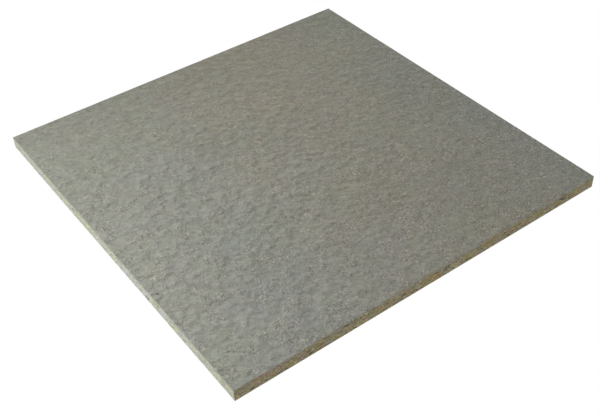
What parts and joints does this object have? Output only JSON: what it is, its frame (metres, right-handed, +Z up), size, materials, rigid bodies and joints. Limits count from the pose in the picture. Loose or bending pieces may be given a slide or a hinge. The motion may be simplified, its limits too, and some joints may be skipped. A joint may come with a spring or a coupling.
{
  "type": "cement-bonded particle board",
  "caption": "Flat square panel of grey cement-bonded particle board with sawn square edges, for lining, floors and cladding.",
  "frame": {"origin": "middle of the underside, on the floor the board lies on", "axes": "+Z up through the thickness, X and Y along the sawn edges"},
  "size_m": [0.5, 0.5, 0.016],
  "materials": {
    "cement_wood": "matte"
  },
  "bodies": {
    "root": {"particle_board": "cement_wood"}
  },
  "joints": []
}
